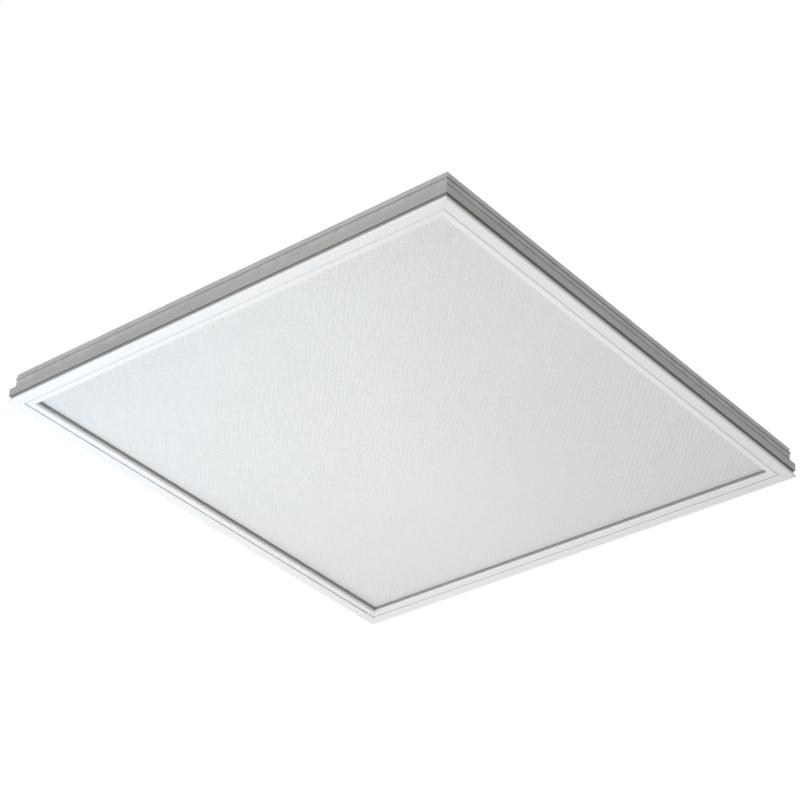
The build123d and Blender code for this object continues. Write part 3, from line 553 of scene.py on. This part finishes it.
def drawn_metal(name, colour, other, roughness, metallic=1.0, scale=5.0, dirt_and_shade=0.8, dirt_and_shade_reach=0.003):
    """Bare drawn or rolled metal with fine lines along X, slow stains, rubbed edges, and corners and grooves
    darkened by painted shade with some soiling.
    """
    material, n, shader = new_material(name)
    tone = use_group(n, "cloudy_tone", Color=colour, Other_Color=other, Scale=scale, Amount=0.9)
    grain = use_group(n, "rolled_grain")
    # Painted shade, with some soiling, in corners and grooves.
    grime_and_shade = use_group(n, "crevice_dust_and_shade", Amount=dirt_and_shade, Reach=dirt_and_shade_reach)
    rub = use_group(n, "edge_rub")
    lines = n.math("MULTIPLY", grain.outputs["Mask"], 0.25)
    metal = n.mix(lines, tone.outputs["Color"], scaled(colour, LINE_SHADE))
    metal = n.mix(rub.outputs["Mask"], metal, scaled(colour, RUBBED))
    metal = n.mix(grime_and_shade.outputs["Mask"], metal, METAL_GRIME_AND_SHADE)
    n.link(metal, shader.inputs["Base Color"])
    vary_roughness(n, shader, grain.outputs["Mask"], roughness, spread=0.15)
    shader.inputs["Metallic"].default_value = metallic
    bump(n, shader, grain.outputs["Height"], GRAIN_HEIGHT, strength=0.6)
    return material


def moulded(name, colour, other, roughness, grain=1400.0):
    """Moulded plastic or rubber: a fine matte grain and a slight change of tone."""
    material, n, shader = new_material(name)
    tone = use_group(n, "cloudy_tone", Color=colour, Other_Color=other, Scale=40.0, Amount=0.6)
    skin = use_group(n, "paint_peel", Grain=grain, Wave=200.0)
    n.link(tone.outputs["Color"], shader.inputs["Base Color"])
    vary_roughness(n, shader, tone.outputs["Mask"], roughness, spread=0.1)
    bump(n, shader, skin.outputs["Height"], GRAIN_HEIGHT, strength=0.6)
    return material


def insulation(name, colour, other):
    """The smooth plastic on a wire."""
    return moulded(name, colour, other, roughness=0.35)


def acrylic(name, colour, other, roughness, transmission):
    """Clear or milky acrylic with faint clouding in the sheet."""
    material, n, shader = new_material(name)
    tone = use_group(n, "cloudy_tone", Color=colour, Other_Color=other, Scale=3.0, Amount=1.0)
    n.link(tone.outputs["Color"], shader.inputs["Base Color"])
    vary_roughness(n, shader, tone.outputs["Mask"], roughness, spread=0.02)
    shader.inputs["IOR"].default_value = ACRYLIC_IOR
    shader.inputs["Transmission Weight"].default_value = transmission
    return material


def circuit_mask(name, colour):
    """White solder mask over copper tracks that run along the board."""
    material, n, shader = new_material(name)
    place = n.add("ShaderNodeTexCoord")
    tracks = n.add(
        "ShaderNodeTexBrick", in_Scale=1.0, in_Mortar_Size=TRACK_SPACE, in_Brick_Width=TRACK_LENGTH,
        in_Row_Height=TRACK_WIDTH,
    )
    tracks.inputs["Color1"].default_value = colour
    tracks.inputs["Color2"].default_value = scaled(colour, 0.97)
    tracks.inputs["Mortar"].default_value = TRACK_GAP
    n.link(place.outputs["Object"], tracks.inputs["Vector"])
    skin = use_group(n, "paint_peel", Grain=1200.0)
    n.link(tracks.outputs["Color"], shader.inputs["Base Color"])
    n.link(n.math("MULTIPLY_ADD", tracks.outputs["Fac"], 0.15, 0.35), shader.inputs["Roughness"])
    height = n.math("MULTIPLY_ADD", tracks.outputs["Fac"], -2.0, skin.outputs["Height"])
    bump(n, shader, height, GRAIN_HEIGHT, strength=0.6)
    return material


def make_materials():
    """The finish of each material slot, after the groups that they share."""
    for build in (
        cloudy_tone_group, paint_peel_group, rolled_grain_group, zinc_spangle_group, crevice_dust_and_shade_group,
        edge_rub_group, painted_foot_shade_group,
    ):
        tree = build()
        GROUPS[tree.name] = tree
    white, off_white = (0.93, 0.93, 0.925, 1), (0.90, 0.90, 0.89, 1)
    return {
        "galvanised_steel": zinc_sheet(
            "galvanised_sheet", (0.52, 0.515, 0.505, 1), (0.40, 0.395, 0.385, 1),
            roughness=0.42, spangle=90.0, metallic=0.4, foot_shaded=True,
        ),
        "zinc_steel": zinc_sheet(
            "zinc_plated_steel", (0.58, 0.59, 0.60, 1), (0.50, 0.51, 0.52, 1),
            roughness=0.32, spangle=260.0, metallic=0.8,
        ),
        # The lip rail's groove is darkened a little by painted shade.
        "lip_metal": drawn_metal(
            "lip_rail_metal", (0.43, 0.42, 0.405, 1), (0.35, 0.34, 0.32, 1),
            roughness=0.42, metallic=0.35, dirt_and_shade=0.15, dirt_and_shade_reach=0.004,
        ),
        "spring_steel": drawn_metal(
            "spring_steel", (0.50, 0.50, 0.50, 1), (0.40, 0.40, 0.41, 1), roughness=0.28, scale=30.0,
        ),
        "fastener_steel": drawn_metal(
            "fastener_steel", (0.62, 0.62, 0.61, 1), (0.52, 0.52, 0.51, 1), roughness=0.24, scale=60.0,
        ),
        "key_aluminium": drawn_metal(
            "cast_key_metal", (0.60, 0.60, 0.60, 1), (0.50, 0.50, 0.50, 1), roughness=0.45,
        ),
        "brass": drawn_metal(
            "brass", (0.74, 0.53, 0.22, 1), (0.62, 0.43, 0.16, 1), roughness=0.26, scale=60.0,
        ),
        "trim_paint": painted("trim_powder_coat", white, off_white, roughness=0.30, dust_and_shade=0.12),
        "door_paint": painted("door_powder_coat", white, off_white, roughness=0.34, dust_and_shade=0.12),
        "reflector_white": painted(
            "reflector_enamel", (0.92, 0.92, 0.92, 1), (0.89, 0.89, 0.88, 1), roughness=0.42, dust_and_shade=0.2,
        ),
        "prismatic_acrylic": acrylic(
            "prismatic_acrylic", (0.93, 0.935, 0.93, 1), (0.90, 0.905, 0.895, 1),
            roughness=0.22, transmission=0.12,
        ),
        "optic_clear": acrylic(
            "optic_acrylic", (0.94, 0.955, 0.96, 1), (0.92, 0.935, 0.94, 1),
            roughness=0.14, transmission=0.4,
        ),
        "board_white": circuit_mask("white_solder_mask", (0.87, 0.87, 0.84, 1)),
        "lamp_yellow": moulded(
            "lamp_phosphor", (0.88, 0.70, 0.16, 1), (0.82, 0.62, 0.10, 1), roughness=0.35, grain=3000.0,
        ),
        "grey_foam": moulded(
            "seal_foam", (0.37, 0.375, 0.365, 1), (0.29, 0.295, 0.285, 1), roughness=0.8, grain=700.0,
        ),
        "black_rubber": moulded(
            "black_rubber", (0.025, 0.025, 0.025, 1), (0.04, 0.04, 0.04, 1), roughness=0.62, grain=900.0,
        ),
        "connector_white": moulded(
            "connector_nylon", (0.80, 0.79, 0.74, 1), (0.74, 0.73, 0.68, 1), roughness=0.45,
        ),
        "driver_case_white": moulded(
            "driver_case_plastic", (0.78, 0.78, 0.76, 1), (0.72, 0.72, 0.70, 1), roughness=0.48,
        ),
        "block_grey": moulded(
            "terminal_polyamide", (0.42, 0.43, 0.44, 1), (0.36, 0.37, 0.38, 1), roughness=0.42,
        ),
        "lever_orange": moulded(
            "lever_polyamide", (0.80, 0.24, 0.03, 1), (0.70, 0.19, 0.02, 1), roughness=0.34,
        ),
        "wire_red": insulation("red_insulation", (0.55, 0.03, 0.025, 1), (0.45, 0.02, 0.02, 1)),
        "wire_black": insulation("black_insulation", (0.02, 0.02, 0.022, 1), (0.03, 0.03, 0.03, 1)),
        "wire_grey": insulation("grey_insulation", (0.28, 0.28, 0.29, 1), (0.22, 0.22, 0.23, 1)),
        "wire_green": insulation("green_insulation", (0.08, 0.36, 0.07, 1), (0.06, 0.28, 0.05, 1)),
    }


def dress_nodes(materials):
    """Each node of the frame gets the finish that the record names for it."""
    for row in frame["record"]["subparts"]:
        node = nodes[row["node"]]
        node.data.materials.clear()
        node.data.materials.append(materials[row["material_slot"]])


# ---- prismatic lens ----
PRISM_PITCH = 3.4 * MM
PRISM_DEPTH = 0.55 * MM
LENS_RIM = 3.4 * MM


def prismatic_lens(materials):
    """A sheet with a field of diamond prisms below, their points down, and a flat rim on the seal."""
    low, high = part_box("lens")
    half = high.x
    count = 2 * int((half - LENS_RIM) / PRISM_PITCH - 0.5) + 1
    start = -count * PRISM_PITCH / 2
    row = count + 1
    flat_level = low.z + PRISM_DEPTH
    points, faces = [], []
    for j in range(row):
        for i in range(row):
            edge = i in (0, count) or j in (0, count)
            down = (i + j) % 2 == 0 and not edge
            points.append((start + i * PRISM_PITCH, start + j * PRISM_PITCH, low.z if down else flat_level))
    for j in range(count):
        for i in range(count):
            a, d = j * row + i, (j + 1) * row + i
            b, c = a + 1, d + 1
            if (i + j) % 2 == 0:
                faces += [(a, d, b), (b, d, c)]
            else:
                faces += [(a, c, b), (a, d, c)]
    border = list(range(row))
    border += [j * row + count for j in range(1, row)]
    border += [count * row + i for i in range(count - 1, -1, -1)]
    border += [j * row for j in range(count - 1, 0, -1)]
    total = len(border)
    rim = len(points)
    top = rim + total
    scale = half / (-start)
    for level in (flat_level, high.z):
        for k in border:
            x, y, _ = points[k]
            points.append((x * scale, y * scale, level))
    for k in range(total):
        following = (k + 1) % total
        faces.append((border[k], border[following], rim + following, rim + k))
        faces.append((rim + k, rim + following, top + following, top + k))
    faces.append(tuple(top + k for k in range(total)))
    data = mesh_from("prismatic_lens", points, faces)
    new_piece("prismatic_lens", data, materials, "lens_door", "prismatic_acrylic", "lens")


# ---- seal of the lens ----
SEAL_WIDTH = 3.55


def lens_seal(materials):
    """A soft dark seal under the lens, a real part; its lip hangs over the ledge of the door's rails and
    widens the dark band along the lens's edge, standing in for the shade in that recess.
    """
    low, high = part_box("lens_gasket")
    out, bed, top = high.x / MM, low.z / MM, high.z / MM
    lip = out - SEAL_WIDTH
    profile = (
        (out, bed), (lip, bed), (lip - 0.02, bed - 1.5), (lip - 0.15, bed - 1.8), (lip - 0.36, bed - 1.75),
        (lip - 0.48, bed - 1.4), (lip - 0.5, top - 0.7), (lip - 0.3, top - 0.25), (lip + 0.3, top - 0.02),
        (out, top),
    )
    data = mesh_from("lens_seal", *square_ring(profile), crease=30)
    new_piece("lens_seal", data, materials, "lens_door", "grey_foam", "lens_gasket")


# ---- LED packages, in millimetres ----
LEDS_ALONG, BOARDS = 8, 6
BOARD_LENGTH = 536
FIRST_LED = 37
LED_PITCH_X = (BOARD_LENGTH - 2 * FIRST_LED) / (LEDS_ALONG - 1)
LED_PITCH_Y = 88.0
LED_HALF = 1.5
LED_TOP = 34.9
PHOSPHOR_RADIUS = 1.02
PHOSPHOR_CROWN = 0.14
PHOSPHOR_LEVEL = LED_TOP - 0.70
PHOSPHOR_DEPTH = 0.3


def led_places():
    return [((i - (LEDS_ALONG - 1) / 2) * LED_PITCH_X, (j - (BOARDS - 1) / 2) * LED_PITCH_Y)
            for j in range(BOARDS) for i in range(LEDS_ALONG)]


def led_body(x, y):
    """A square white package with a drafted edge and a shallow cup."""
    edge, lip, cup = LED_HALF - 0.12, LED_HALF - 0.3, LED_HALF - 0.42
    levels = ((LED_HALF, 0.0), (LED_HALF, 0.55), (edge, 0.8), (lip, 0.8), (cup, 0.68))
    return stacked_squares([
        [((x + sx * half) * MM, (y + sy * half) * MM, (LED_TOP - drop) * MM) for sx, sy in SQUARE]
        for half, drop in levels
    ])


def led_phosphor(x, y, rings=4, steps=16):
    """The yellow phosphor in the cup, slightly crowned, with a short straight side behind it."""
    points = [(x * MM, y * MM, (PHOSPHOR_LEVEL - PHOSPHOR_CROWN) * MM)]
    shares = [k / rings for k in range(1, rings + 1)]
    levels = [(share, PHOSPHOR_LEVEL - PHOSPHOR_CROWN * (1 - share ** 2)) for share in shares]
    levels.append((1, PHOSPHOR_LEVEL + PHOSPHOR_DEPTH))
    for share, z in levels:
        r = PHOSPHOR_RADIUS * share
        for i in range(steps):
            angle = 2 * math.pi * i / steps
            points.append(((x + r * math.cos(angle)) * MM, (y + r * math.sin(angle)) * MM, z * MM))
    faces = [(0, 1 + (i + 1) % steps, 1 + i) for i in range(steps)]
    for k in range(rings):
        a, b = 1 + k * steps, 1 + (k + 1) * steps
        faces += [(a + i, a + (i + 1) % steps, b + (i + 1) % steps, b + i) for i in range(steps)]
    faces.append(tuple(range(1 + rings * steps, 1 + (rings + 1) * steps)))
    return points, faces


def led_packages(materials):
    for name, part, slot, crease in (
        ("led_bodies", led_body, "connector_white", 30), ("led_phosphor", led_phosphor, "lamp_yellow", 40),
    ):
        data = mesh_from(name, *joined(part(x, y) for x, y in led_places()), crease)
        new_piece(name, data, materials, "housing", slot, "led_packages")


# ---- wires: their routes in millimetres ----
GROMMET_X = 124
WIRE_RADIUS = 0.7
SUPPLY_RADIUS = 1.1
PLUG_LEVEL = 33.2
BUS_END = 226
RED_BUS_X, BLACK_BUS_X = 268, 272
RED_SIDE, BLACK_SIDE = 4, -4


def bus_route(x):
    """Straight along the row of plugs."""
    return [(x, -BUS_END, PLUG_LEVEL), (x, BUS_END, PLUG_LEVEL)]


def led_route(x, y):
    """From the driver, down through the grommet and out under the pan to the row of plugs."""
    return [
        (92, y, 50.4), (106, y, 50.6), (117, y, 50.4), (GROMMET_X, y, 50.2), (GROMMET_X, y, 45.5),
        (GROMMET_X, y, 40), (GROMMET_X, y, 35.1), (130, y, 35.05), (170, y, 35.05), (230, y, 35.05),
        (x - 5, y, 35.0), (x - 1, y, 34.6), (x, y, PLUG_LEVEL),
    ]


# piece: slot, radius, node that it stands for, routes
WIRES = {
    "led_wire_red": ("wire_red", WIRE_RADIUS, "led_wire_positive", [
        led_route(RED_BUS_X, RED_SIDE), bus_route(RED_BUS_X),
    ]),
    "led_wire_black": ("wire_black", WIRE_RADIUS, "led_wire_negative", [
        led_route(BLACK_BUS_X, BLACK_SIDE), bus_route(BLACK_BUS_X),
    ]),
    "supply_leads": ("wire_grey", SUPPLY_RADIUS, "supply_wires", [
        [(-103.5, -11, 44), (-96, -11, 44), (-90, -11, 43.9), (-84, -11.3, 44.6), (-80, -11, 44.1),
         (-76.5, -11, 44)],
        [(-103.5, 0, 44), (-96, 0, 44), (-90, 0.3, 43.9), (-84, 0.2, 44.5), (-80, 0, 44.1), (-76.5, 0, 44)],
    ]),
    "earth_lead": ("wire_green", SUPPLY_RADIUS, "earth_wire", [[
        (-103.5, 11, 44), (-95, 11, 44), (-86.5, 11, 44), (-84.5, 17, 44.2), (-84.5, 28, 44.2),
        (-86.5, 36, 44), (-96, 37, 43.8), (-106, 36.4, 43.4), (-112, 36, 42.6), (-116, 36, 40.6),
        (-121.5, 36, 40.5),
    ]]),
}


def wires(materials):
    """One curve for each node of wire, with a smooth line through each of its routes."""
    for name, (slot, radius, node, routes) in WIRES.items():
        data = bpy.data.curves.new(name, "CURVE")
        data.dimensions = "3D"
        data.bevel_depth = radius * MM
        data.bevel_resolution = 4
        data.resolution_u = 8
        data.use_fill_caps = True
        for route in routes:
            spline = data.splines.new("NURBS")
            spline.points.add(len(route) - 1)
            for point, place in zip(spline.points, route):
                point.co = (*(v * MM for v in place), 1)
            spline.order_u = min(3, len(route))
            spline.use_endpoint_u = True
        new_piece(name, data, materials, "housing", slot, node)


# ---- earth lug: (radius, place on the axis) in millimetres ----
LUG_X, LUG_Y = -128, 36
LUG_WIRE_LEVEL = 40.5
LUG_EYE = ((2.15, 38.42), (2.15, 39.38), (4.1, 39.38), (4.2, 39.25), (4.2, 38.55), (4.1, 38.42))
LUG_BARREL = (
    (1.15, -124.0), (1.6, -124.0), (1.75, -123.5), (1.75, -122.4), (1.5, -121.8), (1.5, -120.2),
    (1.75, -119.6), (1.75, -118.2), (1.6, -117.8), (1.15, -117.8),
)
# place along X, half width, lower and upper side
LUG_NECK = (
    (-125.2, 2.0, 38.42, 39.38), (-124.4, 1.9, 38.45, 39.4), (-123.4, 1.7, 38.6, 39.6),
    (-121.0, 1.5, 38.8, 39.7),
)


def earth_lug(materials):
    """A ring terminal: a flat eye under the screw and a crimped barrel on the wire."""
    eye = lathe(LUG_EYE, (LUG_X, LUG_Y, 0))
    barrel = lathe(LUG_BARREL, (0, LUG_Y, LUG_WIRE_LEVEL), along_x=True, steps=24)
    rings = []
    for x, half, low, high in LUG_NECK:
        corners = ((-half, low), (half, low), (half, high), (-half, high))
        rings.append([(x * MM, (LUG_Y + y) * MM, z * MM) for y, z in corners])
    neck = stacked_squares(rings)
    data = mesh_from("earth_lug", *joined((eye, barrel, neck)), crease=35)
    new_piece("earth_lug", data, materials, "housing", "zinc_steel", "earth_wire")


# ---- rubber fittings: (radius, place on the axis) in millimetres ----
GROMMET = (
    (5.4, 36.5), (5.75, 36.05), (6.4, 35.92), (8.5, 35.92), (8.95, 36.15), (8.9, 36.48), (7.0, 36.49),
    (7.0, 38.41), (8.85, 38.42), (9.0, 38.8), (8.95, 39.35), (8.5, 39.85), (7.6, 39.98), (6.2, 39.9),
    (5.6, 39.5), (5.4, 38.9),
)
BUSHING = (
    (8.0, -141.2), (8.25, -141.75), (8.8, -142.0), (11.6, -142.0), (12.2, -141.75), (12.5, -141.2),
    (12.45, -140.35), (12.3, -140.02), (10.79, -140.01), (10.79, -139.08), (11.15, -138.7), (11.1, -138.1),
    (10.45, -134.6), (10.1, -134.05), (8.6, -134.0), (8.1, -134.2), (8.0, -134.8),
)


def rubber_fittings(materials):
    """The grommet in the pan's wire hole and the bushing in the cable inlet."""
    low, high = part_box("inlet_bushing")
    inlet_z = (low.z + high.z) / 2 / MM
    for name, shape, node in (
        ("rubber_grommet", lathe(GROMMET, (GROMMET_X, 0, 0)), "wire_grommet"),
        ("rubber_bushing", lathe(BUSHING, (0, 0, inlet_z), along_x=True), "inlet_bushing"),
    ):
        new_piece(name, mesh_from(name, *shape, crease=50), materials, "housing", "black_rubber", node)


bpy.context.scene.view_settings.view_transform = "Standard"
set_camera()
set_world()
set_lights()
floor()
materials = make_materials()
dress_nodes(materials)
prismatic_lens(materials)
lens_seal(materials)
led_packages(materials)
wires(materials)
earth_lug(materials)
rubber_fittings(materials)
